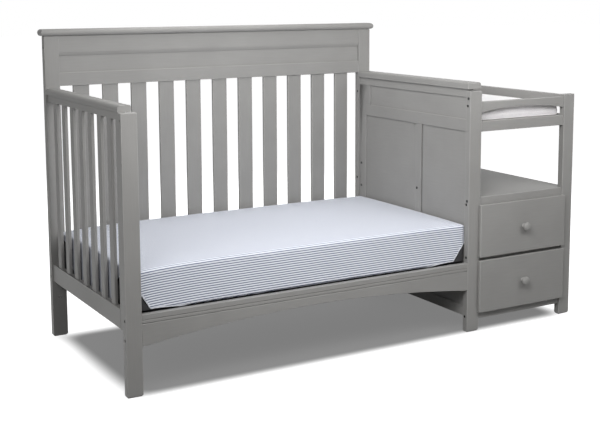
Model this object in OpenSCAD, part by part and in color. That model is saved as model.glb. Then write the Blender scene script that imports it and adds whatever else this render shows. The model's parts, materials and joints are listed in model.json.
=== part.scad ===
// Crib with attached changer, set up as a daybed: headboard, slatted left end,
// panelled partition, low front rail, steel mattress support, and a changer
// with a guarded tray, an open shelf bay and two drawers. Painted wood.
// Millimetres, +Z up, front towards -Y. Origin on the floor, under the middle
// of the outer box. Inside the modules x runs from the left leg's outer face
// and y from the front face of the front legs; in_frame() moves to the origin.

/* [Crib] */
// clear length between left end and partition
interior_len = 1320; // [1200:1:1450]
// clear depth between front rail and headboard
interior_dep = 720; // [660:1:780]
// width of crib legs and headboard posts, along X
leg_w = 54; // [46:1:64]
// thickness of the front legs, along Y
leg_t = 25; // [22:1:32]
// chamfer round each foot
foot_cut = 5; // [2:0.5:8]
// thickness of the joined boards: end rails, front rail, changer rails
rail_t = 20; // [18:1:24]

/* [Headboard] */
// height to the top of the headboard cap
head_h = 1132; // [1060:1:1250]
// thickness of the headboard posts
head_t = 27; // [24:1:34]
// height of the headboard cap
head_cap_h = 25; // [18:1:32]
// cap overhang past the posts, at each end
head_cap_side = 12; // [6:1:24]
// cap overhang in front of and behind the posts
head_cap_lip = 10; // [6:1:20]
// setback of the headboard boards behind the posts' front
head_inset = 2; // [1:0.5:4]
// thickness of the crest and slat rails
head_rail_t = 22; // [20:1:23]
// height of the crest rail under the cap
crest_h = 72; // [60:1:90]
// height of the moulded edge along the crest rail's bottom
crest_mould_h = 12; // [8:1:18]
// height of the sunk panel that shows
head_panel_h = 60; // [40:1:90]
// thickness of thin panels
panel_t = 9; // [6:1:10]
// depth that a thin panel goes into its grooves
groove_dep = 8; // [5:1:12]
// height of the rail that holds the slats' tops
slat_rail_h = 48; // [40:1:70]
// number of headboard slats
head_slats = 11; // [9:1:13]
// width of a headboard slat
head_slat_w = 61; // [50:1:70]
// thickness of every slat
slat_t = 12; // [10:1:14]
// depth of a slat's end in its rail
tenon = 10; // [6:1:12]

/* [Left end] */
// height of the left front leg
front_leg_h = 898; // [850:1:940]
// setback of the left end's boards from the leg's outer face
end_inset = 5; // [2:1:8]
// height of the left end's cap
end_cap_h = 22; // [16:1:30]
// width of the left end's cap
end_cap_w = 44; // [38:1:60]
// radius of the cap's outer top edge
end_cap_round = 13; // [6:1:15]
// height of the rail under the cap
end_top_h = 24; // [22:1:40]
// width of the stile behind the front leg
stile_w = 34; // [28:1:50]
// height of the bottom rail, here and on the headboard
low_rail_h = 64; // [56:1:80]
// height of the bottom rail's underside above the floor
low_rail_z = 211; // [195:1:230]
// number of slats in the left end
end_slats = 7; // [6:1:8]
// width of a left end slat
end_slat_w = 35; // [28:1:40]

/* [Front rail] */
// height of the daybed rail at its ends
front_rail_h = 102; // [90:1:120]
// height of the rail's underside above the floor, at its ends
front_rail_z = 162; // [150:1:170]
// rise of the arch under the rail
arch_rise = 43; // [20:1:55]
// width of the two bead grooves
bead_w = 3; // [2:0.5:5]
// depth of the bead grooves
bead_dep = 2; // [1:0.5:3]
// distance of the upper groove below the rail's top
bead_drop = 18; // [12:1:24]
// distance between the two grooves
bead_gap = 11; // [8:1:16]

/* [Partition] */
// height of the partition's front leg
part_leg_h = 901; // [840:1:960]
// height of the partition's cap above its front leg, top to top
part_rise = 31; // [26:1:45]
// height of the partition's cap
part_cap_h = 25; // [18:1:32]
// overhang of the cap over the changer
part_cap_side = 4; // [0:1:5]
// reach of the cap forward over the leg
part_cap_nose = 13; // [0:1:20]
// setback of the frame boards from the leg's crib face
part_inset = 6; // [3:1:9]
// thickness of the frame boards laid on the core board
part_frame_t = 4; // [3:1:14]
// thickness of the core board
core_t = 20; // [18:1:22]
// height of the frieze rail
frieze_h = 30; // [24:1:45]
// height of the upper panel field
upper_field_h = 80; // [60:1:100]
// height of the rail between the panel fields
mid_rail_h = 45; // [35:1:60]
// height of the partition's bottom rail
part_low_h = 38; // [30:1:55]
// height of the partition's underside above the floor
part_low_z = 59; // [50:1:75]
// width of the stile next to the headboard
rear_stile_w = 48; // [44:1:64]
// extra width of that stile beside the upper field
upper_stile_w = 30; // [15:1:45]
// width of the mullion between the lower fields
mullion_w = 50; // [40:1:70]
// distance of the mullion from the front leg
mullion_y = 279; // [240:1:320]
// width of the shadow gap in front of the mullion
shadow_gap = 6; // [4:1:8]
// depth of the shadow gap in the core board
shadow_deep = 10; // [6:1:12]
// diameter of the spare holes in legs and stile
spare_d = 7; // [5:0.5:8]
// distance of the stile's spare holes from the headboard
spare_in = 16; // [12:1:24]
// diameter of a spare hole's cap
plug_d = 10; // [9:0.5:12]
// thickness of a cap's head
plug_t = 1.2; // [1:0.2:2]
// length of a cap's stem
plug_stem = 3; // [2:0.5:5]
// height of the stile's lower spare hole above the mattress support
spare_low = 215; // [180:1:240]
// height of the mullion's spare hole above the mattress support
spare_mid = 262; // [240:1:290]
// height of the stile's upper spare hole above the mattress support
spare_high = 310; // [280:1:340]

/* [Mattress support] */
// height of the mattress's underside above the floor
deck_z = 266; // [262:1:280]
// gap between the steel frame and the two ends
support_end_gap = 5; // [4:1:8]
// gap between the steel frame and front rail or headboard
support_side_gap = 8; // [5:1:14]
// width of the angle steel's top leg
angle_w = 25; // [20:1:35]
// height of the angle steel's upright leg
angle_h = 25; // [22:1:32]
// thickness of the angle steel
angle_t = 2.5; // [2:0.5:4]
// diameter of the support wires
wire_d = 5; // [4:0.5:6]
// number of wires across the bed
cross_wires = 14; // [8:1:20]
// number of wires along the bed
long_wires = 5; // [3:1:9]
// width of a corner bracket
bracket_w = 28; // [24:1:36]
// depth of the ledge under the steel frame
ledge = 20; // [12:1:30]

/* [Soft pieces] */
// gap under the mattress and under the pad
soft_gap = 0.3; // [0.2:0.1:1]
// radius of the mattress's and the pad's long edges
soft_edge = 14; // [8:1:15]
// gap between the mattress and each end
mat_end_gap = 5; // [4:1:15]
// gap between the mattress and the front rail
mat_front_gap = 8; // [5:1:15]
// gap between the mattress and the headboard
mat_rear_gap = 20; // [10:1:25]
// height of the mattress at its edge
mat_h = 134; // [100:1:150]
// extra height of the mattress in the middle
mat_crown = 6; // [2:1:12]
// radius of the mattress's upright corners
mat_corner = 22; // [18:1:60]
// how far the mattress's sides draw in between the corners
mat_draw = 4; // [1:1:8]
// how far the mattress's top drops at its corners
mat_drop = 14; // [4:1:20]
// gap between the pad and the tray's right side
pad_gap = 5; // [4:1:15]
// gap between the pad and the partition's cap, seen from above
pad_cap_gap = 5; // [3:1:20]
// gap between the pad and the front and rear rails
pad_end_gap = 6; // [4:1:15]
// height of the pad at its edge
pad_h = 44; // [30:1:60]
// extra height of the pad in the middle
pad_crown = 14; // [4:1:20]
// radius of the pad's upright corners
pad_corner = 20; // [16:1:60]
// how far the pad's sides draw in between the corners
pad_draw = 4; // [1:1:6]
// how far the pad's top drops at its corners
pad_drop = 6; // [2:1:10]

/* [Changer] */
// clear width between the partition leg and the changer's post
bay_w = 403; // [370:1:450]
// width of the changer's posts
post_w = 52; // [46:1:64]
// drop of the changer's posts below the partition's front leg
post_step = 32; // [10:1:45]
// setback of the tray's right side from the post's inner face
tray_side = 16; // [10:1:20]
// drop of the front guard rail's top below the posts' top
guard_drop = 9; // [2:1:14]
// drop of the side guard rail's top below the posts' top
side_drop = 4; // [1:1:10]
// height of the guard rails
guard_h = 40; // [34:1:48]
// rise of the arch under the front and rear guard rails
guard_arch = 16; // [6:1:20]
// drop of the tray rails' top below the posts' top
tray_rail_drop = 80; // [72:1:110]
// height of the tray and shelf rails
tray_rail_h = 39; // [34:1:46]
// thickness of the tray board
tray_t = 12; // [10:1:16]
// drop of the tray board's top below its rails
tray_drop = 4; // [2:1:10]
// height to the top of the shelf
shelf_z = 507; // [500:1:540]
// thickness of the shelf board
shelf_t = 15; // [12:1:20]
// height of the toe rails
toe_h = 40; // [34:1:44]
// height of the toe rails' underside above the floor
toe_z = 45; // [36:1:50]
// height of the rail between the drawers
divider_h = 22; // [16:1:24]
// thickness of the cabinet's side panels
side_t = 12; // [10:1:15]
// thickness of the cabinet's back
back_t = 6; // [4:1:9]

/* [Drawers] */
// height of a drawer front
front_h = 197; // [185:1:205]
// thickness of a drawer front
front_t = 13; // [12:1:18]
// overlap of a drawer front on leg and post
overlay = 6; // [3:1:12]
// gap between the posts and the back of a drawer front
front_gap = 1; // [0.6:0.1:3]
// gap between the two drawer fronts
between = 13; // [8:1:18]
// height of the lower drawer front's bottom edge
front_z = 72; // [66:1:78]
// room for a slide at each side of a drawer
slide_room = 13; // [12:0.5:15]
// height of the drawer box
box_h = 140; // [110:1:150]
// depth of the drawer box, front to back
box_dep = 512; // [420:1:600]
// thickness of the box boards
box_t = 12; // [10:1:15]
// height of the box's bottom edge above the front's
box_rise = 22; // [18:1:26]
// thickness of the drawer bottom
bottom_t = 4; // [3:0.5:6]
// distance of the drawer bottom above the box's bottom edge
bottom_rise = 8; // [6:1:14]
// height of a slide's channel
slide_h = 32; // [26:1:40]
// sheet thickness of the slides
slide_t = 1.5; // [1:0.1:2]
// clearance between the slide's channels
slide_play = 0.4; // [0.3:0.1:0.8]
// length of the fixed channel
slide_len = 500; // [400:1:600]
// diameter of a knob
knob_d = 34; // [28:1:42]
// distance that a knob stands out
knob_out = 27; // [22:1:34]
// diameter of a knob's neck
knob_neck = 13; // [10:1:18]

/* [Hardware] */
// length of a frame bolt's shank
bolt_len = 72; // [66:1:80]
// diameter of a frame bolt
bolt_d = 6; // [5:0.5:7]
// diameter of a frame bolt's head
bolt_head = 10; // [9:0.5:12]
// height of a frame bolt's head
bolt_head_h = 6; // [5:0.5:7]
// depth of the counterbore that sinks the head
sink = 8; // [7:0.5:9]
// radial clearance round bolts, heads and nuts
fit = 0.4; // [0.3:0.05:0.6]
// diameter of a barrel nut
nut_d = 10; // [9:0.5:11]
// length of a barrel nut
nut_len = 13; // [10:0.5:14]
// diameter of the bed rail holes in the headboard posts
rail_hole_d = 9; // [7:0.5:11]
// height of the lower bed rail hole
rail_hole_z = 149; // [130:1:170]
// distance between the two bed rail holes
rail_hole_gap = 160; // [120:1:180]

/* [Hidden] */
paint = [0.57, 0.57, 0.56];
steel = [0.72, 0.73, 0.74];
black = [0.12, 0.12, 0.13];
cut = 1;                                  // how far a cutting shape runs past a face
rail_land = 12;                           // flat under the front rail at each end

// main lines along X
end_in = end_inset + rail_t;              // left end's inner face
part_in = end_in + interior_len;          // partition's crib face
part_x = part_in - part_inset;            // partition leg's crib face
core_x = part_in + part_frame_t;
core_r = core_x + core_t;                 // core board's changer face
crib_r = part_x + leg_w;                  // crib's right outer face
post_x = crib_r + bay_w;
total_w = post_x + post_w;
tray_r = post_x + tray_side;              // tray's right inner face
side_r = tray_r + rail_t;
// main lines along Y
head_y = rail_t + interior_dep;           // headboard posts' front face
back_y = head_y + head_t;
head_board_y = head_y + head_inset;
head_mid_y = head_board_y + head_rail_t / 2;
knob_y = -front_gap - front_t;            // outer face of the drawer fronts
rail_inset = leg_t - rail_t;              // changer rails end flush with the legs' back
// outer box and the shift to the origin
x_min = -head_cap_side;
y_min = knob_y - knob_out;
x_mid = (x_min + max(total_w, side_r)) / 2;
y_mid = (y_min + back_y + head_cap_lip) / 2;
// headboard heights
cap_z = head_h - head_cap_h;
crest_z = cap_z - crest_h;
slat_top = crest_z - head_panel_h;        // slat rail's top
slat_z = slat_top - slat_rail_h;          // slat rail's underside
low_top = low_rail_z + low_rail_h;
head_gap = (part_x - leg_w - head_slats * head_slat_w) / (head_slats + 1);
slat_y = head_mid_y - slat_t / 2;
// left end
end_top_z = front_leg_h - end_top_h;
stile_r = leg_t + stile_w;
end_gap = (head_y - stile_r - end_slats * end_slat_w) / (end_slats + 1);
end_mid_x = end_inset + rail_t / 2;
// partition heights
part_h = part_leg_h + part_rise;
part_cap_z = part_h - part_cap_h;
frieze_z = part_cap_z - frieze_h;
mid_top = frieze_z - upper_field_h;
mid_z = mid_top - mid_rail_h;
part_low_top = part_low_z + part_low_h;
stile_y = head_y - rear_stile_w;
front_top = front_rail_z + front_rail_h;
// mattress support
frame_top = deck_z - wire_d;
frame_z = frame_top - angle_h;
fx0 = end_in + support_end_gap;
fx1 = part_in - support_end_gap;
fy0 = rail_t + support_side_gap;
fy1 = head_y - support_side_gap;
bracket_y = [leg_t + 5, stile_y + rear_stile_w / 2 - bracket_w / 2];
support_bolt_z = frame_z + angle_h / 2 - 1;
cleat_w = bracket_w + 10;
// changer heights
post_h = part_leg_h - post_step;
tray_rail_z = post_h - tray_rail_drop;
guard_top = post_h - guard_drop;
guard_z = guard_top - guard_h;
side_guard_z = post_h - side_drop - tray_rail_h;
tray_z = tray_rail_z - tray_rail_h;
tray_top = tray_rail_z - tray_drop;
shelf_rail_z = shelf_z - tray_rail_h;
upper_z = front_z + front_h + between;
divider_z = upper_z - between / 2 - divider_h / 2;
// drawers
box_x0 = crib_r + slide_room;
box_x1 = post_x - slide_room;
box_y0 = -front_gap;
box_y1 = box_y0 + box_dep;
slide_y0 = leg_t + 5;
slide_mid = box_rise + box_h / 2;
run_h = slide_h - 2 * slide_t - 2 * slide_play;
// bolts: rows of x, y, z where the sunk hole starts, and 1 or -1 for the side
// along Y from which the nut goes in
rail_mid = rail_inset + rail_t / 2;
rear_mid = head_y + rail_t / 2;
front_bolt_z = [front_rail_z + 24, front_top - 15];
head_bolt_z = [low_rail_z + 16, cap_z - crest_h / 2 - 6];
bay_bolt_z = [guard_top - 13, shelf_rail_z + 14, toe_z + 13];
front_at_left = [for (z = front_bolt_z) [0, rail_t / 2, z, 1]];
front_at_right = [for (z = front_bolt_z) [crib_r, rail_t / 2, z, 1]];
head_at_left = [for (z = head_bolt_z) [0, head_mid_y, z, 1]];
head_at_right = [for (z = head_bolt_z) [crib_r, head_mid_y, z, 1]];
bay_front_in = [for (z = bay_bolt_z) [part_x, rail_mid, z, 1]];
bay_rear_in = [for (z = bay_bolt_z) [part_x, rear_mid, z, -1]];
bay_front_out = [for (z = bay_bolt_z) [total_w, rail_mid, z, 1]];
bay_rear_out = [for (z = bay_bolt_z) [total_w, rear_mid, z, -1]];
leg_spares = [frieze_z - 3, shelf_rail_z + 28, front_top + 20];
wall_spares = [[head_y - spare_in, frame_z + spare_low], [head_y - spare_in, frame_z + spare_high],
  [leg_t + mullion_y + mullion_w / 2, frame_z + spare_mid]];
end_bolts = [[end_in - rail_t / 2, back_y, end_top_z + end_top_h / 2],
  [end_in - rail_t / 2, back_y, low_top - 14]];
core_bolts = [[core_x + core_t / 2, back_y, frieze_z],
  [core_x + core_t / 2, back_y, part_low_top]];
nut_at = sink + bolt_len - 12;            // nut's middle, from the outer face
nut_floor = 3;                            // wood left under a nut
socket = 5;                               // width of a bolt's hex socket
screw_d = 4;                              // knob screw
screw_head = 9;
screw_head_h = 3;
screw_in = 15;                            // screw's length inside the knob
m_bolt = 6;                               // support bolts: shank, head, wood depth
m_head = 12;
m_head_h = 4;
m_in = 15;

module in_frame() translate([-x_mid, -y_mid, 0]) children();
// a board between two corners
module board(a, b) translate(a) cube(b - a);
// a round bar or bore along X or along Y
module bar_x(x0, x1, y, z, d, n = 40)
  translate([x0, y, z]) rotate([0, 90, 0]) cylinder(d = d, h = x1 - x0, $fn = n);
module bar_y(x, y0, y1, z, d, n = 40)
  translate([x, y1, z]) rotate([90, 0, 0]) cylinder(d = d, h = y1 - y0, $fn = n);
// upright post with a chamfer round its foot, standing on the floor
module post(x, y, w, t, h) translate([x, y, 0]) intersection() {
  translate([0, t, 0]) rotate([90, 0, 0]) linear_extrude(t) foot(w, h);
  rotate([90, 0, 90]) linear_extrude(w) foot(t, h);
}
module foot(w, h) polygon([[foot_cut, 0], [w - foot_cut, 0], [w, foot_cut], [w, h],
  [0, h], [0, foot_cut]]);
// rectangle w by h with its corners rounded by r, counted round from the lower left
module rounded(w, h, r) {
  at = [[0, 0], [w, 0], [w, h], [0, h]];
  difference() {
    square([w, h]);
    for (k = [0:3]) if (r[k] > 0) translate(at[k]) rotate(90 * k) difference() {
      translate([-cut, -cut]) square(r[k] + cut);
      translate([r[k], r[k]]) circle(r[k], $fn = 64);
    }
  }
}
// arch cut under a board from x0 to x1, whose feet stand at height z
module arch(x0, x1, y0, y1, z, rise, n) {
  r = (pow((x1 - x0) / 2, 2) + rise * rise) / (2 * rise);
  bar_y((x0 + x1) / 2, y0 - cut, y1 + cut, z + rise - r, 2 * r, n);
}
// turns a child whose z axis runs into the wood from the outer face
module from_left(b) translate([b[0], b[1], b[2]]) rotate([0, 90, 0]) children();
module from_right(b) translate([b[0], b[1], b[2]]) rotate([0, -90, 0]) children();
module from_back(b) translate([b[0], b[1], b[2]]) rotate([90, 0, 0]) children();
module bolt_hole() {
  translate([0, 0, -cut]) cylinder(d = bolt_head + 2 * fit, h = sink + cut, $fn = 48);
  cylinder(d = bolt_d + 2 * fit, h = sink + bolt_len + 4, $fn = 40);
}
// hole for a barrel nut across a board t thick
module nut_hole(t) translate([0, 0, nut_at]) rotate([-90, 0, 0])
  translate([0, 0, nut_floor - t / 2]) cylinder(d = nut_d + 2 * fit, h = t, $fn = 40);
module drill(left, right, back) {
  for (b = left) from_left(b) bolt_hole();
  for (b = right) from_right(b) bolt_hole();
  for (b = back) from_back(b) bolt_hole();
}
// bolt and nut holes in a board t thick
module drill_board(left, right, back, t) {
  drill(left, right, back);
  for (b = left) from_left(b) rotate(b[3] < 0 ? 180 : 0) nut_hole(t);
  for (b = right) from_right(b) rotate(b[3] < 0 ? 180 : 0) nut_hole(t);
  for (b = back) from_back(b) rotate(-90) nut_hole(t);
}
module bed_rail_holes(x) for (z = [rail_hole_z, rail_hole_z + rail_hole_gap])
  bar_y(x, head_y - cut, back_y + cut, z, rail_hole_d);
// mortises for a row of slats; ends of the slats themselves use the same values
module head_slat_bars(z0, z1) for (i = [0:head_slats - 1])
  board([leg_w + head_gap + i * (head_slat_w + head_gap), slat_y, z0],
        [leg_w + (i + 1) * (head_slat_w + head_gap), slat_y + slat_t, z1]);
module end_slat_bars(z0, z1) for (i = [0:end_slats - 1])
  board([end_in - rail_t / 2 - slat_t / 2, stile_r + end_gap + i * (end_slat_w + end_gap), z0],
        [end_in - rail_t / 2 + slat_t / 2, stile_r + (i + 1) * (end_slat_w + end_gap), z1]);
module head_board(z0, z1) board([leg_w, head_board_y, z0],
  [part_x, head_board_y + head_rail_t, z1]);
// the thin panel of the headboard, also used to cut its grooves
module head_panel_board() board([leg_w, head_mid_y - panel_t / 2, slat_top - groove_dep],
  [part_x, head_mid_y + panel_t / 2, crest_z + groove_dep]);

// ---- headboard
module headboard_post_left() color(paint) in_frame() difference() {
  post(0, head_y, leg_w, head_t, cap_z);
  drill(head_at_left, [], end_bolts);
  bed_rail_holes(leg_w / 2);
}
module headboard_post_right() color(paint) in_frame() difference() {
  post(part_x, head_y, leg_w, head_t, cap_z);
  drill(bay_rear_in, head_at_right, core_bolts);
  bed_rail_holes(part_x + leg_w / 2);
}
module headboard_cap() color(paint) in_frame() {
  w = crib_r + 2 * head_cap_side;
  d = head_t + 2 * head_cap_lip;
  r = head_cap_h / 2 - 0.5;
  translate([-head_cap_side, head_y - head_cap_lip, cap_z]) intersection() {
    rotate([90, 0, 90]) linear_extrude(w) rounded(d, head_cap_h, [r, 2, 2, r]);
    translate([0, d, 0]) rotate([90, 0, 0]) linear_extrude(d)
      rounded(w, head_cap_h, [r, r, r, r]);
  }
}
// crest rail, its lower edge stepped back and bevelled into a moulding
module headboard_crest_rail() color(paint) in_frame() difference() {
  translate([leg_w, head_board_y, 0]) rotate([90, 0, 90]) linear_extrude(part_x - leg_w)
    polygon([[0, cap_z], [0, crest_z + crest_mould_h], [2, crest_z + crest_mould_h],
      [2, crest_z + crest_mould_h / 2], [5, crest_z], [head_rail_t, crest_z],
      [head_rail_t, cap_z]]);
  head_panel_board();
  drill_board([head_at_left[1]], [head_at_right[1]], [], head_rail_t);
}
module headboard_panel() color(paint) in_frame() head_panel_board();
module headboard_slat_rail() color(paint) in_frame() difference() {
  head_board(slat_z, slat_top);
  head_panel_board();
  head_slat_bars(slat_z - cut, slat_z + tenon);
}
module headboard_slats() color(paint) in_frame()
  head_slat_bars(low_top - tenon, slat_z + tenon);
module headboard_bottom_rail() color(paint) in_frame() difference() {
  head_board(low_rail_z, low_top);
  head_slat_bars(low_top - tenon, low_top + cut);
  drill_board([head_at_left[0]], [head_at_right[0]], [], head_rail_t);
}

// ---- left end
module left_front_leg() color(paint) in_frame() difference() {
  post(0, 0, leg_w, leg_t, front_leg_h);
  drill(front_at_left, [], []);
  bar_x(-cut, leg_w + cut, rail_t / 2, end_top_z, spare_d);
}
module left_end_cap() color(paint) in_frame()
  translate([0, head_y, front_leg_h]) rotate([90, 0, 0]) linear_extrude(head_y - leg_t)
    rounded(end_cap_w, end_cap_h, [2, 2, 5, end_cap_round]);
module left_end_top_rail() color(paint) in_frame() difference() {
  board([end_inset, leg_t, end_top_z], [end_in, head_y, front_leg_h]);
  end_slat_bars(end_top_z - cut, end_top_z + tenon);
  drill_board([], [], [end_bolts[0]], rail_t);
}
module left_end_stile() color(paint) in_frame() difference() {
  board([end_inset, leg_t, low_rail_z], [end_in, stile_r, end_top_z]);
  support_holes();
}
module left_end_slats() color(paint) in_frame()
  end_slat_bars(low_top - tenon, end_top_z + tenon);
module left_end_bottom_rail() color(paint) in_frame() difference() {
  board([end_inset, stile_r, low_rail_z], [end_in, head_y, low_top]);
  end_slat_bars(low_top - tenon, low_top + cut);
  drill_board([], [], [end_bolts[1]], rail_t);
  support_holes();
}

// ---- partition
module partition_leg() color(paint) in_frame() difference() {
  post(part_x, 0, leg_w, leg_t, part_leg_h);
  drill(bay_front_in, front_at_right, []);
  for (z = leg_spares) bar_x(part_x - cut, crib_r + cut, rail_t / 2, z, spare_d);
}
module partition_cap() color(paint) in_frame() {
  w = leg_w + part_cap_side;
  d = head_y - leg_t + part_cap_nose;
  translate([part_x, leg_t - part_cap_nose, part_cap_z]) intersection() {
    rotate([90, 0, 90]) linear_extrude(w) rounded(d, part_cap_h, [2, 0, 0, 7]);
    translate([0, d, 0]) rotate([90, 0, 0]) linear_extrude(d)
      rounded(w, part_cap_h, [2, 2, 7, 7]);
  }
}
module partition_core() color(paint) in_frame() difference() {
  board([core_x, leg_t, part_low_z], [core_r, head_y, part_cap_z]);
  drill_board([], [], core_bolts, core_t);
  support_holes();
  translate([core_x - cut, leg_t + mullion_y - shadow_gap, part_low_top])
    cube([shadow_deep + cut, shadow_gap, mid_z - part_low_top]);
  for (h = wall_spares) bar_x(core_x - cut, core_x + plug_stem + 1, h[0], h[1], spare_d);
}
module partition_frieze() color(paint) in_frame()
  board([part_in, leg_t, frieze_z], [core_x, head_y, part_cap_z]);
module partition_mid_rail() color(paint) in_frame()
  board([part_in, leg_t, mid_z], [core_x, stile_y, mid_top]);
module partition_low_rail() color(paint) in_frame()
  board([part_in, leg_t, part_low_z], [core_x, stile_y, part_low_top]);
// stile next to the headboard, wider beside the upper field
module partition_stile() color(paint) in_frame() difference() {
  union() {
    board([part_in, stile_y, part_low_z], [core_x, head_y, frieze_z]);
    board([part_in, stile_y - upper_stile_w, mid_top], [core_x, head_y, frieze_z]);
  }
  support_holes();
  for (h = wall_spares) bar_x(part_in - cut, core_x + cut, h[0], h[1], spare_d);
}
module partition_mullion() color(paint) in_frame() difference() {
  board([part_in, leg_t + mullion_y, part_low_top],
        [core_x, leg_t + mullion_y + mullion_w, mid_z]);
  for (h = wall_spares) bar_x(part_in - cut, core_x + cut, h[0], h[1], spare_d);
}
// caps that close the spare holes on the crib's side
module hole_cap(x, y, z) {
  bar_x(x - plug_t, x, y, z, plug_d);
  bar_x(x - cut, x + plug_stem, y, z, spare_d - 2 * fit);
}
module hole_caps() color(black) in_frame() {
  for (z = leg_spares) hole_cap(part_x, rail_t / 2, z);
  for (h = wall_spares) hole_cap(part_in, h[0], h[1]);
}
// block that carries the support's front bracket
module partition_cleat() color(paint) in_frame() difference() {
  board([part_in, leg_t, frame_z - 10], [core_x, bracket_y[0] + bracket_w + 5, frame_top + 15]);
  support_holes();
}

// ---- front rail
module front_rail() color(paint) in_frame() difference() {
  board([leg_w, 0, front_rail_z], [part_x, rail_t, front_top]);
  arch(leg_w + rail_land, part_x - rail_land, 0, rail_t, front_rail_z, arch_rise, 720);
  for (k = [0, 1]) board(
    [leg_w - cut, -cut, front_top - bead_drop - k * bead_gap - bead_w / 2],
    [part_x + cut, bead_dep, front_top - bead_drop - k * bead_gap + bead_w / 2]);
  drill_board(front_at_left, front_at_right, [], rail_t);
}

// ---- mattress support
// angle steel frame, flat legs on top and pointing in
module support_frame() color(black) in_frame() difference() {
  board([fx0, fy0, frame_z], [fx1, fy1, frame_top]);
  board([fx0 + angle_t, fy0 + angle_t, frame_z - cut],
        [fx1 - angle_t, fy1 - angle_t, frame_top - angle_t]);
  board([fx0 + angle_w, fy0 + angle_w, frame_z - cut],
        [fx1 - angle_w, fy1 - angle_w, frame_top + cut]);
  support_holes();
}
// welded grid: cross wires lie on the frame, long wires hang fused below them
module support_wires() color(black) in_frame() union() {
  for (i = [0:cross_wires - 1])
    bar_y(fx0 + angle_w + (i + 0.5) * (fx1 - fx0 - 2 * angle_w) / cross_wires,
      fy0 + angle_t, fy1 - angle_t, frame_top + wire_d / 2, wire_d, 24);
  for (j = [0:long_wires - 1])
    bar_x(fx0 + angle_w, fx1 - angle_w,
      fy0 + angle_w + (j + 0.5) * (fy1 - fy0 - 2 * angle_w) / long_wires,
      frame_top + 1 - wire_d / 2, wire_d, 24);
}
module bracket(side, y) {
  x = side < 0 ? end_in : part_in;
  board([side < 0 ? x : x - support_end_gap, y, frame_z - 5],
        [side < 0 ? x + support_end_gap : x, y + bracket_w, frame_top]);
  board([side < 0 ? x : x - ledge, y, frame_z - 5],
        [side < 0 ? x + ledge : x, y + bracket_w, frame_z]);
}
module support_brackets() color(black) in_frame() for (s = [-1, 1], y = bracket_y)
  difference() {
    bracket(s, y);
    support_holes();
  }
// bolts run from inside the frame through flange and bracket into the wood
module support_holes() for (y = bracket_y) {
  bar_x(end_in - m_in - 1, fx0 + 2 * angle_t, y + bracket_w / 2, support_bolt_z,
    m_bolt + 2 * fit);
  bar_x(fx1 - 2 * angle_t, part_in + m_in + 1, y + bracket_w / 2, support_bolt_z,
    m_bolt + 2 * fit);
}
module support_bolts() color(steel) in_frame() for (y = bracket_y) {
  bar_x(end_in - m_in, fx0 + angle_t + cut, y + bracket_w / 2, support_bolt_z, m_bolt);
  bar_x(fx0 + angle_t, fx0 + angle_t + m_head_h, y + bracket_w / 2, support_bolt_z, m_head);
  bar_x(fx1 - angle_t - cut, part_in + m_in, y + bracket_w / 2, support_bolt_z, m_bolt);
  bar_x(fx1 - angle_t - m_head_h, fx1 - angle_t, y + bracket_w / 2, support_bolt_z, m_head);
}

// ---- frame bolts and barrel nuts
module bolt() difference() {
  union() {
    translate([0, 0, sink - bolt_head_h]) cylinder(d = bolt_head, h = bolt_head_h, $fn = 48);
    translate([0, 0, sink - cut]) cylinder(d = bolt_d, h = bolt_len + cut, $fn = 40);
  }
  translate([0, 0, sink - bolt_head_h - cut]) cylinder(d = socket, h = bolt_head_h - 1, $fn = 6);
}
module nut(t) translate([0, 0, nut_at]) difference() {
  rotate([-90, 0, 0]) translate([0, 0, nut_floor - t / 2])
    cylinder(d = nut_d, h = nut_len, $fn = 40);
  translate([0, 0, -nut_d]) cylinder(d = bolt_d + 2 * fit, h = 2 * nut_d, $fn = 40);
}
module frame_bolts() color(steel) in_frame() {
  for (b = concat(front_at_left, head_at_left, bay_front_in, bay_rear_in)) from_left(b) bolt();
  for (b = concat(front_at_right, head_at_right, bay_front_out, bay_rear_out))
    from_right(b) bolt();
  for (b = concat(end_bolts, core_bolts)) from_back(b) bolt();
}
module barrel_nuts() color(steel) in_frame() {
  for (b = concat(front_at_left, bay_front_in, bay_rear_in))
    from_left(b) rotate(b[3] < 0 ? 180 : 0) nut(rail_t);
  for (b = concat(front_at_right, bay_front_out, bay_rear_out))
    from_right(b) rotate(b[3] < 0 ? 180 : 0) nut(rail_t);
  for (b = head_at_left) from_left(b) nut(head_rail_t);
  for (b = head_at_right) from_right(b) nut(head_rail_t);
  for (b = end_bolts) from_back(b) rotate(-90) nut(rail_t);
  for (b = core_bolts) from_back(b) rotate(-90) nut(core_t);
}

// ---- mattress and pad: one closed cushion form from stacked outlines
// outline of a w by d cushion drawn in by e, corner radius r, sides pulled in by p
function outline(w, d, r, e, p) = let (
    q = max(r - e, 1), a = w / 2 - e - q, b = d / 2 - e - q,
    mid = [[a, b], [-a, b], [-a, -b], [a, -b]],
    side = [for (k = [0:3]) for (i = [0:5]) [mid[k][0] + q * cos(90 * k + 18 * i),
                                             mid[k][1] + q * sin(90 * k + 18 * i)]])
  [for (k = [0:3]) each concat(
    [for (i = [0:5]) side[6 * k + i]],
    [for (i = [1:7]) let (s = side[6 * k + 5], t = side[(6 * k + 6) % 24], f = i / 8,
        n = k % 2 == 0 ? [0, k == 0 ? -1 : 1] : [k == 1 ? 1 : -1, 0])
      s + (t - s) * f + n * p * 4 * f * (1 - f)])];
// share of the corner drop at a point: near 1 at the corners, near 0 elsewhere
function near(v, w, d) = pow(2 * v[0] / w, 12) * pow(2 * v[1] / d, 12);
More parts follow.
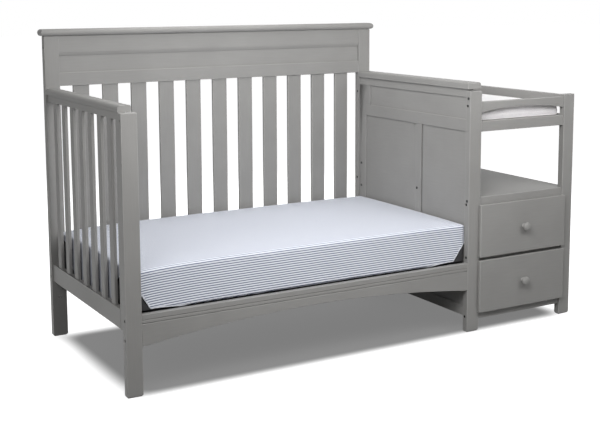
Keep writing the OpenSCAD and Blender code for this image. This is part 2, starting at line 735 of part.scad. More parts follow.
// rings from the underside up: edge radius e, edge height h, crown c, corner drop g
function rings(w, d, h, c, r, e, p, g) = concat(
  [for (a = [90, 60, 30, 0]) [for (v = outline(w, d, r, e * (1 - cos(90 - a)), p))
    [v[0], v[1], e * (1 - sin(a))]]],
  [[for (v = outline(w, d, r, 1.5, p)) [v[0], v[1], h / 2]]],
  [for (a = [0, 30, 60, 90]) [for (v = outline(w, d, r, e * (1 - cos(a)), p))
    [v[0], v[1], h - e * (1 - sin(a)) - g * near(v, w, d)]]],
  [for (f = [0.12, 0.3, 0.55, 0.8]) [for (v = (1 - f) * outline(w, d, r, e, p))
    [v[0], v[1], h + c * (1 - pow(v[0] / (w / 2 - e), 2)) * (1 - pow(v[1] / (d / 2 - e), 2))
      - g * near(v, w, d)]]]);
module cushion(w, d, h, c, r, e, p, g) {
  all = rings(w, d, h, c, r, e, p, g);
  m = len(all);
  n = len(all[0]);
  pts = concat([for (ring = all) for (v = ring) v], [[0, 0, 0]], [[0, 0, h + c]]);
  polyhedron(pts, concat(
    [for (i = [0:m - 2]) for (j = [0:n - 1]) let (k = (j + 1) % n)
      each [[i * n + j, (i + 1) * n + j, (i + 1) * n + k], [i * n + j, (i + 1) * n + k, i * n + k]]],
    [for (j = [0:n - 1]) [m * n, j, (j + 1) % n]],
    [for (j = [0:n - 1]) [m * n + 1, (m - 1) * n + (j + 1) % n, (m - 1) * n + j]]));
}
module mattress() color([0.86, 0.88, 0.92]) in_frame() {
  x0 = end_in + mat_end_gap;
  x1 = part_in - mat_end_gap;
  y0 = rail_t + mat_front_gap;
  y1 = head_y - mat_rear_gap;
  translate([(x0 + x1) / 2, (y0 + y1) / 2, deck_z + soft_gap])
    cushion(x1 - x0, y1 - y0, mat_h, mat_crown, mat_corner, soft_edge, mat_draw, mat_drop);
}
module changing_pad() color([0.92, 0.91, 0.92]) in_frame() {
  x0 = crib_r + part_cap_side + pad_cap_gap;
  x1 = tray_r - pad_gap;
  y0 = leg_t + pad_end_gap;
  y1 = head_y - pad_end_gap;
  translate([(x0 + x1) / 2, (y0 + y1) / 2, tray_top + soft_gap])
    cushion(x1 - x0, y1 - y0, pad_h, pad_crown, pad_corner, soft_edge, pad_draw, pad_drop);
}

// ---- changer
module changer_front_post() color(paint) in_frame() difference() {
  post(post_x, 0, post_w, leg_t, post_h);
  drill([], bay_front_out, []);
}
module changer_rear_post() color(paint) in_frame() difference() {
  post(post_x, head_y, post_w, head_t, post_h);
  drill([], bay_rear_out, []);
}
// front and rear rail between the posts, k picks the row of bolts it takes
module bay_rails(z0, z1, k) for (s = [0, 1]) let (y = s == 0 ? rail_inset : head_y)
  difference() {
    board([crib_r, y, z0], [post_x, y + rail_t, z1]);
    drill_board([(s == 0 ? bay_front_in : bay_rear_in)[k]],
      [(s == 0 ? bay_front_out : bay_rear_out)[k]], [], rail_t);
  }
module guard_rails() color(paint) in_frame() difference() {
  bay_rails(guard_z, guard_top, 0);
  for (y = [rail_inset, head_y])
    arch(crib_r + 6, post_x - 6, y, y + rail_t, guard_z, guard_arch, 240);
}
// guard and tray rail along the tray's right side
module side_rails() color(paint) in_frame() for (z = [tray_z, side_guard_z])
  board([tray_r, leg_t, z], [side_r, head_y, z + tray_rail_h]);
module tray_rails() color(paint) in_frame() for (y = [rail_inset, head_y])
  board([crib_r, y, tray_z], [post_x, y + rail_t, tray_rail_z]);
module tray_board() color(paint) in_frame()
  board([core_r, leg_t, tray_top - tray_t], [tray_r, head_y, tray_top]);
module shelf_board() color(paint) in_frame()
  board([core_r, leg_t, shelf_z - shelf_t], [side_r, head_y, shelf_z]);
module shelf_rails() color(paint) in_frame() bay_rails(shelf_rail_z, shelf_z, 1);
module divider_rail() color(paint) in_frame()
  board([crib_r, rail_inset, divider_z], [post_x, leg_t, divider_z + divider_h]);
module toe_rails() color(paint) in_frame() bay_rails(toe_z, toe_z + toe_h, 2);
module cabinet_sides() color(paint) in_frame() for (x = [crib_r - side_t, post_x])
  board([x, leg_t, toe_z], [x + side_t, head_y, shelf_z - shelf_t]);
module cabinet_back() color(paint) in_frame()
  board([crib_r, head_y, toe_z + toe_h], [post_x, head_y + back_t, shelf_rail_z]);
// C-shaped channel, web at x, flanges reaching w to the side s
module channel(x, s, w, h, y0, y1, z) difference() {
  board([s > 0 ? x : x - w, y0, z - h / 2], [s > 0 ? x + w : x, y1, z + h / 2]);
  board([s > 0 ? x + slide_t : x - w - cut, y0 - cut, z - h / 2 + slide_t],
        [s > 0 ? x + w + cut : x - slide_t, y1 + cut, z + h / 2 - slide_t]);
}
module slide_channels() color(steel) in_frame() for (z = [front_z, upper_z]) {
  channel(crib_r, 1, slide_room - 4, slide_h, slide_y0, slide_y0 + slide_len, z + slide_mid);
  channel(post_x, -1, slide_room - 4, slide_h, slide_y0, slide_y0 + slide_len, z + slide_mid);
}

// ---- drawers, each from the height z of its front's lower edge
knob_z = front_h / 2;
module screw_hole(z) bar_y((crib_r + post_x) / 2, knob_y - screw_in - 2, box_y0 + box_t + cut,
  z + knob_z, screw_d + 2 * fit);
module front(z) color(paint) in_frame() difference() {
  board([crib_r - overlay, knob_y, z], [post_x + overlay, -front_gap, z + front_h]);
  screw_hole(z);
}
// thin bottom, also used to cut its grooves
module bottom(z) board(
  [box_x0 + box_t / 2, box_y0 + box_t / 2, z + box_rise + bottom_rise],
  [box_x1 - box_t / 2, box_y1 - box_t / 2, z + box_rise + bottom_rise + bottom_t]);
module box_ends(z) color([0.80, 0.72, 0.58]) in_frame() for (y = [box_y0, box_y1 - box_t])
  difference() {
    board([box_x0, y, z + box_rise], [box_x1, y + box_t, z + box_rise + box_h]);
    bottom(z);
    screw_hole(z);
  }
module box_sides(z) color([0.80, 0.72, 0.58]) in_frame() for (x = [box_x0, box_x1 - box_t])
  difference() {
    board([x, box_y0 + box_t, z + box_rise], [x + box_t, box_y1 - box_t, z + box_rise + box_h]);
    bottom(z);
  }
module box_bottom(z) color([0.78, 0.70, 0.56]) in_frame() bottom(z);
// turned mushroom knob: foot ring, neck, round rim and a shallow dome
module knob(z) color(paint) in_frame() difference() {
  translate([(crib_r + post_x) / 2, knob_y, z + knob_z]) rotate([90, 0, 0])
    rotate_extrude($fn = 64) knob_profile();
  screw_hole(z);
}
module knob_profile() {
  rim = 5;
  a = knob_d / 2 - rim;                   // radius where the dome meets the rim
  up = 4.5;                               // height of the dome
  big = (a * a + up * up) / (2 * up);
  square([knob_neck / 2 + 2, 2]);
  square([knob_neck / 2, knob_out - rim]);
  translate([a, knob_out - up - rim]) circle(rim, $fn = 48);
  translate([0, knob_out - up - 2 * rim]) square([a, 2 * rim]);
  intersection() {
    translate([0, knob_out - big]) circle(big, $fn = 96);
    translate([0, knob_out - up - cut]) square([a, up + 2 * cut]);
  }
}
module knob_screw(z) color(steel) in_frame() {
  x = (crib_r + post_x) / 2;
  bar_y(x, knob_y - screw_in, box_y0 + box_t + cut, z + knob_z, screw_d, 32);
  bar_y(x, box_y0 + box_t, box_y0 + box_t + screw_head_h, z + knob_z, screw_head, 32);
}
module slides(z) color(steel) in_frame() {
  reach = slide_room - slide_t - 1.5;
  channel(box_x0, -1, reach, run_h, box_y0 + 15, box_y0 + box_dep - 8, z + slide_mid);
  channel(box_x1, 1, reach, run_h, box_y0 + 15, box_y0 + box_dep - 8, z + slide_mid);
}
module upper_front() front(upper_z);
module upper_box_ends() box_ends(upper_z);
module upper_box_sides() box_sides(upper_z);
module upper_bottom() box_bottom(upper_z);
module upper_knob() knob(upper_z);
module upper_knob_screw() knob_screw(upper_z);
module upper_slides() slides(upper_z);
module lower_front() front(front_z);
module lower_box_ends() box_ends(front_z);
module lower_box_sides() box_sides(front_z);
module lower_bottom() box_bottom(front_z);
module lower_knob() knob(front_z);
module lower_knob_screw() knob_screw(front_z);
module lower_slides() slides(front_z);

headboard_post_left();
headboard_post_right();
headboard_cap();
headboard_crest_rail();
headboard_panel();
headboard_slat_rail();
headboard_slats();
headboard_bottom_rail();
left_front_leg();
left_end_cap();
left_end_top_rail();
left_end_stile();
left_end_slats();
left_end_bottom_rail();
partition_leg();
partition_cap();
partition_core();
partition_frieze();
partition_mid_rail();
partition_low_rail();
partition_stile();
partition_mullion();
partition_cleat();
hole_caps();
front_rail();
support_frame();
support_wires();
support_brackets();
support_bolts();
mattress();
frame_bolts();
barrel_nuts();
changer_front_post();
changer_rear_post();
guard_rails();
side_rails();
tray_rails();
tray_board();
changing_pad();
shelf_board();
shelf_rails();
divider_rail();
toe_rails();
cabinet_sides();
cabinet_back();
slide_channels();
upper_front();
upper_box_ends();
upper_box_sides();
upper_bottom();
upper_knob();
upper_knob_screw();
upper_slides();
lower_front();
lower_box_ends();
lower_box_sides();
lower_bottom();
lower_knob();
lower_knob_screw();
lower_slides();
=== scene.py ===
import json
import math

import bmesh
import bpy
import numpy as np
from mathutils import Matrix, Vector

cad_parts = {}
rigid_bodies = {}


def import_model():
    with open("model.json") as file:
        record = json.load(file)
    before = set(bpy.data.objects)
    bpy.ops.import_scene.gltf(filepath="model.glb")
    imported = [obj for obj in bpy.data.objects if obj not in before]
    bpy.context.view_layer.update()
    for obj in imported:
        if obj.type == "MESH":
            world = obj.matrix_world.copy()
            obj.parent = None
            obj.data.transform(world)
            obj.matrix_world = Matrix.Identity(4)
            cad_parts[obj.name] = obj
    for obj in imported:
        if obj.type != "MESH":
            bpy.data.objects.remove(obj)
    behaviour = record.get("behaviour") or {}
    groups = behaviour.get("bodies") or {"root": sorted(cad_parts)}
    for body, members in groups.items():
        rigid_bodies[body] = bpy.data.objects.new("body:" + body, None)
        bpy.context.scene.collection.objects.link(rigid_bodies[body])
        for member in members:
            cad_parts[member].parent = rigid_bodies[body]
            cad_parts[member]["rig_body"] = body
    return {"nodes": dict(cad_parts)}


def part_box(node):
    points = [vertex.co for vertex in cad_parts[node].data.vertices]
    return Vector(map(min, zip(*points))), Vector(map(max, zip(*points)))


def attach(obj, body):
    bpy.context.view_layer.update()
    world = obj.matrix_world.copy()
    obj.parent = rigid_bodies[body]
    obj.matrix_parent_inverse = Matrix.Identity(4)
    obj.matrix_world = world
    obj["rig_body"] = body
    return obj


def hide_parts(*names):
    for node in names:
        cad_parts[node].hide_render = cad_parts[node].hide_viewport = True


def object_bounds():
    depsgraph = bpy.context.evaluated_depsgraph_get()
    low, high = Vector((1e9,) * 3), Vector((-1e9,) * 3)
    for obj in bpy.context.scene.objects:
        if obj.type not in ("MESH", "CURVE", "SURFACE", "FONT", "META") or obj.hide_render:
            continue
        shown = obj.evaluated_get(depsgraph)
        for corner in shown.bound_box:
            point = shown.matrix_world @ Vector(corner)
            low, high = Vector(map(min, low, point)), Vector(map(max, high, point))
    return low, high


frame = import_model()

cadLow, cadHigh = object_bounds()
print("frame loaded:", len(frame["nodes"]), "nodes")

# camera: in front of the crib and left of it, at the eye height of a seated adult, for a picture of 600 x 428;
# degrees down from level, to the right of straight ahead, and rolled; lens and sensor width in mm
viewpoint = {"place": (-2.1036, -3.4948, 1.2523), "down": 7.642, "right": 30.107, "roll": 0.228, "lens": 66.071,
             "sensor": 36.0, "shift": (0.0, -0.12)}
cameraData = bpy.data.cameras.new("photoCamera")
cameraData.lens, cameraData.sensor_width = viewpoint["lens"], viewpoint["sensor"]
cameraData.shift_x, cameraData.shift_y = viewpoint["shift"]
cameraObject = bpy.data.objects.new("photoCamera", cameraData)
cameraObject.location = viewpoint["place"]
turns = (90 - viewpoint["down"], viewpoint["roll"], -viewpoint["right"])
cameraObject.rotation_euler = [math.radians(a) for a in turns]
bpy.context.scene.collection.objects.link(cameraObject)
bpy.context.scene.camera = cameraObject
bpy.context.scene.view_settings.view_transform = "Standard"


def toLinear(hexColour):
    # sRGB to linear: c / 12.92 below 0.04045, else ((c + 0.055) / 1.055) to the power 2.4
    c = [int(hexColour[i:i + 2], 16) / 255 for i in (1, 3, 5)]
    return tuple(v / 12.92 if v < 0.04045 else ((v + 0.055) / 1.055) ** 2.4 for v in c) + (1.0,)


def setInputs(tree, node, inputs):
    # an input that is given a socket is linked to it, anything else becomes its value
    for key, value in inputs.items():
        if isinstance(value, bpy.types.NodeSocket):
            tree.links.new(value, node.inputs[key])
        else:
            node.inputs[key].default_value = value


def addNode(tree, kind, inputs, output=None, **settings):
    # adds one node with its settings and inputs; gives one of its outputs, or the node itself where none is named
    node = tree.nodes.new("ShaderNode" + kind)
    for key, value in settings.items():
        setattr(node, key, value)
    setInputs(tree, node, inputs)
    return node if output is None else node.outputs[output]


def startMaterial(name, constants):
    # a material with a Principled shader whose constants sit on its own sockets
    material = bpy.data.materials.new(name)
    material.use_nodes = True
    shader = material.node_tree.nodes["Principled BSDF"]
    setInputs(material.node_tree, shader, constants)
    return material, material.node_tree, shader


mixFactor, mixFirst, mixSecond, mixResult = 0, 6, 7, 2  # where a colour mix has its factor, its colours, its result
noiseRange = {"From Min": 0.3, "From Max": 0.7}  # most of a noise lies between these
grainScale = {"x": (0.05, 1, 1), "y": (1, 0.05, 1), "z": (1, 1, 0.05)}  # a fibre is 20 times as long as it is wide

# colours as (deeper, paler), roughness as (least, most), pattern sizes in metres, here and in the other finishes
# the "edge" colours are paler than the "face" ones: a painted highlight along the rounded edges
lacquer = {"face": ("#8e8d8b", "#979694"), "edge": ("#989795", "#a2a19f"), "faceRough": (0.42, 0.5),
           "edgeRough": (0.36, 0.44), "cloudShare": 0.7, "grainShare": 0.3, "grain": 0.0035, "cloud": 0.16,
           "peel": 0.0024}


def sprayedLacquer(name, axis, part):
    # satin lacquer sprayed over sanded rubberwood and fibreboard: an even grey with a soft sheen, faint cloudiness
    # where coats overlap, the ghost of the grain along the board and the fine orange peel of the spray gun; an edge
    # is smoother than a face, and its paler colour is a painted highlight along the rounded edge
    material, tree, shader = startMaterial(name, {"IOR": 1.5, "Specular IOR Level": 0.25})
    place = addNode(tree, "TexCoord", {}, "Object")
    along = addNode(tree, "Mapping", {"Vector": place, "Scale": grainScale[axis]}, "Vector")
    grain = addNode(tree, "TexNoise", {"Vector": along, "Scale": 1 / lacquer["grain"], "Detail": 3.0}, "Fac")
    cloud = addNode(tree, "TexNoise", {"Vector": place, "Scale": 1 / lacquer["cloud"], "Detail": 2.0}, "Fac")
    peel = addNode(tree, "TexNoise", {"Vector": place, "Scale": 1 / lacquer["peel"], "Detail": 1.0}, "Fac")
    cloudTone = addNode(tree, "MapRange", {"Value": cloud, **noiseRange, "To Max": lacquer["cloudShare"]}, "Result")
    grainTone = addNode(tree, "MapRange", {"Value": grain, **noiseRange, "To Max": lacquer["grainShare"]}, "Result")
    tone = addNode(tree, "Math", {0: cloudTone, 1: grainTone}, 0, operation="ADD")
    deep, pale = (toLinear(c) for c in lacquer[part])
    colour = addNode(tree, "Mix", {mixFactor: tone, mixFirst: deep, mixSecond: pale}, mixResult, data_type="RGBA")
    least, most = lacquer[part + "Rough"]
    roughness = addNode(tree, "MapRange", {"Value": cloud, **noiseRange, "To Min": least, "To Max": most}, "Result")
    coarse = addNode(tree, "Bump", {"Height": grain, "Strength": 0.12, "Distance": 0.0003}, "Normal")
    fine = addNode(tree, "Bump", {"Height": peel, "Normal": coarse, "Strength": 0.1, "Distance": 0.0002}, "Normal")
    setInputs(tree, shader, {"Base Color": colour, "Roughness": roughness, "Normal": fine})
    return material


plywood = {"pale": "#d9c09a", "ring": "#c2a276", "pore": "#a98a60", "rings": 0.012, "pores": 0.0016,
           "poreShare": 0.35}


def drawerPly(name, axis):
    # unfinished birch plywood: warm pale straw with darker growth lines along the board, dry and matt
    material, tree, shader = startMaterial(name, {"IOR": 1.5, "Roughness": 0.62})
    place = addNode(tree, "TexCoord", {}, "Object")
    along = addNode(tree, "Mapping", {"Vector": place, "Scale": grainScale[axis]}, "Vector")
    rings = addNode(tree, "TexNoise", {"Vector": along, "Scale": 1 / plywood["rings"], "Detail": 5.0,
                                       "Distortion": 0.6}, "Fac")
    pores = addNode(tree, "TexNoise", {"Vector": along, "Scale": 1 / plywood["pores"], "Detail": 2.0}, "Fac")
    ringTone = addNode(tree, "MapRange", {"Value": rings, **noiseRange}, "Result")
    poreTone = addNode(tree, "MapRange", {"Value": pores, **noiseRange, "To Max": plywood["poreShare"]}, "Result")
    pale, ring, pore = (toLinear(plywood[part]) for part in ("pale", "ring", "pore"))
    wood = addNode(tree, "Mix", {mixFactor: ringTone, mixFirst: pale, mixSecond: ring}, mixResult, data_type="RGBA")
    colour = addNode(tree, "Mix", {mixFactor: poreTone, mixFirst: wood, mixSecond: pore}, mixResult, data_type="RGBA")
    openPores = addNode(tree, "Bump", {"Height": pores, "Strength": 0.25, "Distance": 0.0003}, "Normal")
    setInputs(tree, shader, {"Base Color": colour, "Normal": openPores})
    return material


powder = {"colour": ("#131314", "#1f1f21"), "rough": (0.44, 0.58), "pebble": 0.0012}


def powderCoat(name):
    # black epoxy powder baked on to welded steel: near black with a soft sheen; its pebbles are about 0.6 mm across
    # and drawn at 1.2 mm so that they show
    material, tree, shader = startMaterial(name, {"IOR": 1.5})
    place = addNode(tree, "TexCoord", {}, "Object")
    pebble = addNode(tree, "TexNoise", {"Vector": place, "Scale": 1 / powder["pebble"], "Detail": 2.0}, "Fac")
    tone = addNode(tree, "MapRange", {"Value": pebble, **noiseRange}, "Result")
    deep, pale = (toLinear(c) for c in powder["colour"])
    colour = addNode(tree, "Mix", {mixFactor: tone, mixFirst: deep, mixSecond: pale}, mixResult, data_type="RGBA")
    least, most = powder["rough"]
    roughness = addNode(tree, "MapRange", {"Value": pebble, **noiseRange, "To Min": least, "To Max": most}, "Result")
    pebbled = addNode(tree, "Bump", {"Height": pebble, "Strength": 0.3, "Distance": 0.0002}, "Normal")
    setInputs(tree, shader, {"Base Color": colour, "Roughness": roughness, "Normal": pebbled})
    return material


moulded = {"colour": ("#242425", "#2f2f31"), "spark": 0.0008}


def mouldedPlastic(name):
    # injection-moulded polypropylene: near black with a low sheen; its finely spark-eroded texture is about 0.4 mm
    # across and drawn at 0.8 mm so that it shows
    material, tree, shader = startMaterial(name, {"IOR": 1.49, "Roughness": 0.5})
    place = addNode(tree, "TexCoord", {}, "Object")
    spark = addNode(tree, "TexNoise", {"Vector": place, "Scale": 1 / moulded["spark"], "Detail": 1.0}, "Fac")
    tone = addNode(tree, "MapRange", {"Value": spark, **noiseRange}, "Result")
    deep, pale = (toLinear(c) for c in moulded["colour"])
    colour = addNode(tree, "Mix", {mixFactor: tone, mixFirst: deep, mixSecond: pale}, mixResult, data_type="RGBA")
    eroded = addNode(tree, "Bump", {"Height": spark, "Strength": 0.2, "Distance": 0.0001}, "Normal")
    setInputs(tree, shader, {"Base Color": colour, "Normal": eroded})
    return material


steel = {"zinc": ("#9c9ea2", "#bfc1c4"), "zincRough": (0.3, 0.45), "oxide": ("#18181a", "#242426"),
         "oxideRough": (0.45, 0.6), "blotch": 0.009, "scratch": 0.0008}


def bathedSteel(name, bath):
    # mild steel out of a zinc or a black oxide bath: a cool grey or near black metal, slightly blotched by the bath
    # and brushed by handling
    material, tree, shader = startMaterial(name, {"Metallic": 1.0})
    place = addNode(tree, "TexCoord", {}, "Object")
    blotch = addNode(tree, "TexNoise", {"Vector": place, "Scale": 1 / steel["blotch"], "Detail": 3.0}, "Fac")
    scratch = addNode(tree, "TexNoise", {"Vector": place, "Scale": 1 / steel["scratch"], "Detail": 2.0}, "Fac")
    tone = addNode(tree, "MapRange", {"Value": blotch, **noiseRange}, "Result")
    deep, pale = (toLinear(c) for c in steel[bath])
    colour = addNode(tree, "Mix", {mixFactor: tone, mixFirst: pale, mixSecond: deep}, mixResult, data_type="RGBA")
    least, most = steel[bath + "Rough"]
    roughness = addNode(tree, "MapRange", {"Value": scratch, **noiseRange, "To Min": least, "To Max": most}, "Result")
    brushed = addNode(tree, "Bump", {"Height": scratch, "Strength": 0.08, "Distance": 0.0001}, "Normal")
    setInputs(tree, shader, {"Base Color": colour, "Roughness": roughness, "Normal": brushed})
    return material


# pitch is the distance between stripes, dark the share of it that a stripe takes, blur how softly the dye ends
sheetCloth = {"ground": "#edf0f7", "stripe": "#566180", "fleck": "#9aa2b4", "pitch": 0.008, "dark": 0.34,
              "blur": 0.05, "stripedFleck": 0.08, "plainFleck": 0.3, "fibre": 0.004, "thread": 0.0011, "crease": 0.06}
waveRepeat = 0.314  # a wave texture of scale 1 repeats after this length


def cottonPercale(name, striped):
    # woven cotton percale with yarn-dyed ticking stripes: cool white with thin slate-blue lines every 8 mm and a fine
    # plain weave; threads are 0.3 mm apart in fact and drawn at 1.1 mm so that they show; the hem, where the cloth
    # lies double and gathered, has no stripes that read and is greyer
    material, tree, shader = startMaterial(name, {"IOR": 1.47, "Roughness": 0.88, "Sheen Weight": 0.25,
                                                  "Sheen Roughness": 0.4})
    cloth = addNode(tree, "UVMap", {}, "UV", uv_map="cloth")
    colour, fleckShare = toLinear(sheetCloth["ground"]), sheetCloth["plainFleck"]
    if striped:
        across = addNode(tree, "SeparateXYZ", {"Vector": cloth}, "Y")
        count = addNode(tree, "Math", {0: across, 1: 1 / sheetCloth["pitch"]}, 0, operation="MULTIPLY")
        near = addNode(tree, "Math", {0: count, 1: 0.5}, 0, operation="PINGPONG")  # 0 on a stripe, 0.5 between two
        half, blur = sheetCloth["dark"] / 2, sheetCloth["blur"]
        stripe = addNode(tree, "MapRange", {"Value": near, "From Min": half - blur, "From Max": half + blur,
                                            "To Min": 1, "To Max": 0}, "Result")
        colour = addNode(tree, "Mix", {mixFactor: stripe, mixFirst: colour, mixSecond: toLinear(sheetCloth["stripe"])},
                         mixResult, data_type="RGBA")
        fleckShare = sheetCloth["stripedFleck"]
    fibre = addNode(tree, "TexNoise", {"Vector": cloth, "Scale": 1 / sheetCloth["fibre"], "Detail": 3.0}, "Fac")
    fleck = addNode(tree, "MapRange", {"Value": fibre, **noiseRange, "To Max": fleckShare}, "Result")
    flecked = addNode(tree, "Mix", {mixFactor: fleck, mixFirst: colour, mixSecond: toLinear(sheetCloth["fleck"])},
                      mixResult, data_type="RGBA")
    warp, weft = (addNode(tree, "TexWave", {"Vector": cloth, "Scale": waveRepeat / sheetCloth["thread"],
                                            "Distortion": 0.3}, "Fac", bands_direction=way) for way in ("X", "Y"))
    weave = addNode(tree, "Math", {0: warp, 1: weft}, 0, operation="MULTIPLY")
    creases = addNode(tree, "TexNoise", {"Vector": cloth, "Scale": 1 / sheetCloth["crease"], "Detail": 2.0,
                                         "Distortion": 0.8}, "Fac")
    soft = addNode(tree, "Bump", {"Height": creases, "Strength": 0.3, "Distance": 0.002}, "Normal")
    woven = addNode(tree, "Bump", {"Height": weave, "Normal": soft, "Strength": 0.25, "Distance": 0.0003}, "Normal")
    setInputs(tree, shader, {"Base Color": flecked, "Normal": woven})
    return material


tick = {"colour": ("#19191b", "#262628"), "dimple": 0.003, "dimpleRange": (0.1, 0.6)}


def nonwovenTicking(name):
    # black nonwoven polyester ticking, calendered: matt black with a faint dimpled emboss every 3 mm
    material, tree, shader = startMaterial(name, {"IOR": 1.5, "Roughness": 0.8, "Sheen Weight": 0.15})
    place = addNode(tree, "TexCoord", {}, "Object")
    dimple = addNode(tree, "TexVoronoi", {"Vector": place, "Scale": 1 / tick["dimple"]}, "Distance")
    near, far = tick["dimpleRange"]
    tone = addNode(tree, "MapRange", {"Value": dimple, "From Min": near, "From Max": far}, "Result")
    deep, pale = (toLinear(c) for c in tick["colour"])
    colour = addNode(tree, "Mix", {mixFactor: tone, mixFirst: deep, mixSecond: pale}, mixResult, data_type="RGBA")
    embossed = addNode(tree, "Bump", {"Height": dimple, "Strength": 0.4, "Distance": 0.0005}, "Normal")
    setInputs(tree, shader, {"Base Color": colour, "Normal": embossed})
    return material


pile = {"colour": ("#e9e6e8", "#fbf9fa"), "shade": "#dedadc", "shadeShare": 0.25, "tuft": 0.0035, "nap": 0.035}


def plushCover(name):
    # short-pile polyester plush: warm white, deep and soft, with pile tufts that catch light at the rim; the tufts are
    # about 2 mm across and drawn at 3.5 mm so that they show
    material, tree, shader = startMaterial(name, {"IOR": 1.47, "Roughness": 0.95, "Sheen Weight": 0.5,
                                                  "Sheen Roughness": 0.5})
    place = addNode(tree, "TexCoord", {}, "Object")
    tuft = addNode(tree, "TexNoise", {"Vector": place, "Scale": 1 / pile["tuft"], "Detail": 4.0,
                                      "Roughness": 0.65}, "Fac")
    nap = addNode(tree, "TexNoise", {"Vector": place, "Scale": 1 / pile["nap"], "Detail": 2.0}, "Fac")
    tuftTone = addNode(tree, "MapRange", {"Value": tuft, **noiseRange}, "Result")
    napTone = addNode(tree, "MapRange", {"Value": nap, **noiseRange, "To Max": pile["shadeShare"]}, "Result")
    deep, pale = (toLinear(c) for c in pile["colour"])
    tufted = addNode(tree, "Mix", {mixFactor: tuftTone, mixFirst: deep, mixSecond: pale}, mixResult, data_type="RGBA")
    colour = addNode(tree, "Mix", {mixFactor: napTone, mixFirst: tufted, mixSecond: toLinear(pile["shade"])},
                     mixResult, data_type="RGBA")
    deepPile = addNode(tree, "Bump", {"Height": tuft, "Strength": 0.5, "Distance": 0.0012}, "Normal")
    setInputs(tree, shader, {"Base Color": colour, "Normal": deepPile})
    return material


paint = {a: sprayedLacquer("sprayedLacquer_" + a, a, "face") for a in "xyz"}
# the edge copies are paler: a painted highlight on the rounded-over edges
paintEdgeHighlight = {a: sprayedLacquer("sprayedLacquerPaintedEdgeHighlight_" + a, a, "edge") for a in "xyz"}
ply = {a: drawerPly("birchPly_" + a, a) for a in "xy"}
blackSteel = powderCoat("blackPowderCoat")
capPlastic = mouldedPlastic("blackPolypropylene")
zincSteel = bathedSteel("zincPlatedSteel", "zinc")
darkSteel = bathedSteel("blackOxideSteel", "oxide")
cotton = cottonPercale("stripedCottonPercale", striped=True)
hemCotton = cottonPercale("foldedCottonHem", striped=False)
ticking = nonwovenTicking("blackNonwovenTicking")
plush = plushCover("whitePolyesterPlush")
print("materials:", len(bpy.data.materials))


def dress(node, finish):
    # gives a carried-over node its finish
    slots = frame["nodes"][node].data.materials
    slots.clear()
    slots.append(finish)


# painted boards: grain direction, round-over of the long edges in metres, and whether the ends are eased too
boards = {
    "headboard_post_left": ("z", 0.0025, True), "headboard_post_right": ("z", 0.0025, True),
    "headboard_cap": ("x", 0.0012, True), "headboard_crest_rail": ("x", 0.0012, False),
    "headboard_slat_rail": ("x", 0.0015, False), "headboard_slats": ("z", 0.003, False),
    "headboard_bottom_rail": ("x", 0.002, False), "left_front_leg": ("z", 0.0025, True),
    "left_end_cap": ("y", 0.0015, True), "left_end_top_rail": ("y", 0.0015, False),
    "left_end_stile": ("z", 0.002, False), "left_end_slats": ("z", 0.003, False),
    "left_end_bottom_rail": ("y", 0.002, False), "partition_leg": ("z", 0.0025, True),
    "partition_cap": ("y", 0.0015, True), "partition_frieze": ("y", 0.0012, False),
    "partition_mid_rail": ("y", 0.0012, False), "partition_low_rail": ("y", 0.0012, False),
    "partition_stile": ("z", 0.0012, False), "partition_mullion": ("z", 0.0012, False),
    "front_rail": ("x", 0.0012, False), "changer_front_post": ("z", 0.0025, True),
    "changer_rear_post": ("z", 0.0025, True), "guard_rails": ("x", 0.002, False),
    "side_rails": ("y", 0.002, False), "tray_rails": ("x", 0.002, False),
    "shelf_rails": ("x", 0.0015, False), "divider_rail": ("x", 0.0012, False),
    "toe_rails": ("x", 0.0015, False), "upper_front": ("x", 0.0025, True), "lower_front": ("x", 0.0025, True),
}
flatBoards = {"headboard_panel": "x", "partition_core": "y", "partition_cleat": "y", "tray_board": "x",
              "shelf_board": "x", "cabinet_sides": "y", "cabinet_back": "x"}
axisVector = {"x": Vector((1, 0, 0)), "y": Vector((0, 1, 0)), "z": Vector((0, 0, 1))}
bodyOf = {n: o["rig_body"] for n, o in frame["nodes"].items()}
mergeDistance = 1e-5  # points nearer than this are one
# angles in degrees: faces that meet at less than "flat" are one, and an edge over "sharp" is rounded if it is no
# shorter than "shortest" and its direction has at least "along" of the grain's; "share" of a narrow face may go
easing = {"flat": 0.5, "sharp": 30, "shortest": 0.005, "along": 0.9, "share": 0.4, "steps": 3}


